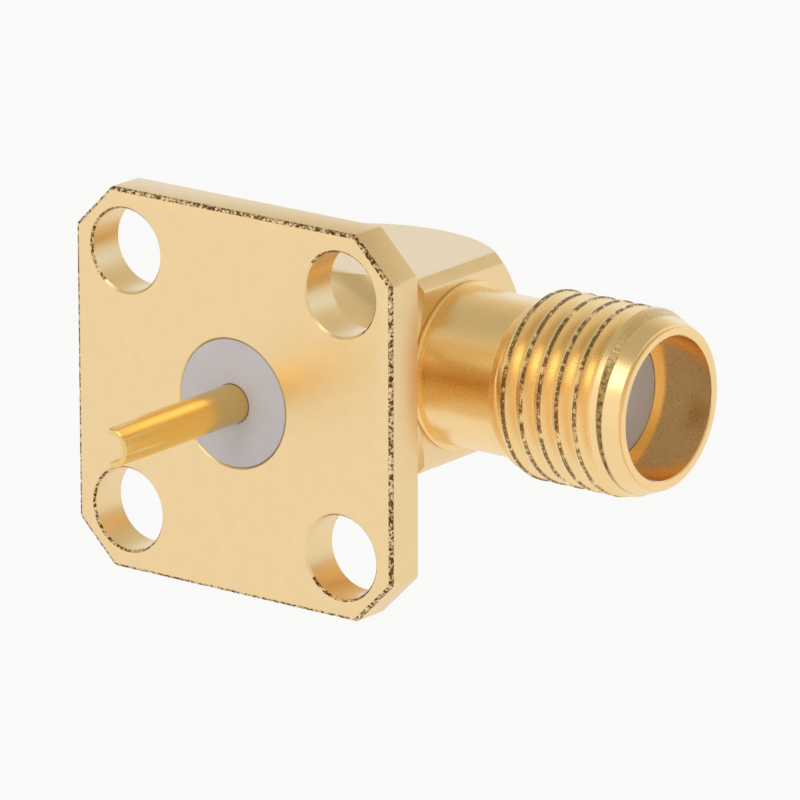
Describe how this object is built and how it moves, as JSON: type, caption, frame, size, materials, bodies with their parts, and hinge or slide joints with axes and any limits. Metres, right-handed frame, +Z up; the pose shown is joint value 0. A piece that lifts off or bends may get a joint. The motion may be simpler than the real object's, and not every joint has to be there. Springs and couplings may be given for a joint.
{
  "type": "right-angle flange-mount coaxial jack",
  "caption": "Right-angle threaded coaxial jack on a square screw flange, with a solder-cup terminal standing out of the flange.",
  "frame": {"origin": "centre of the flange's mounting face, on the terminal's axis and midway between the screw holes", "axes": "-Y out of the mounting face along the terminal, +Y back into the elbow block, +X out of the jack's mouth, +Z up"},
  "size_m": [0.0177, 0.0176, 0.0126],
  "materials": {
    "gold_plating": "satin gold plating on machined brass",
    "contact_plating": "bright gold plating",
    "insulator": "smooth white insulating plastic"
  },
  "bodies": {
    "root": {"body": "gold_plating", "jack_barrel": "gold_plating", "rear_cap": "gold_plating", "terminal_pin": "contact_plating", "centre_contact": "contact_plating", "flange_insulator": "insulator", "jack_insulator": "insulator"}
  },
  "joints": []
}
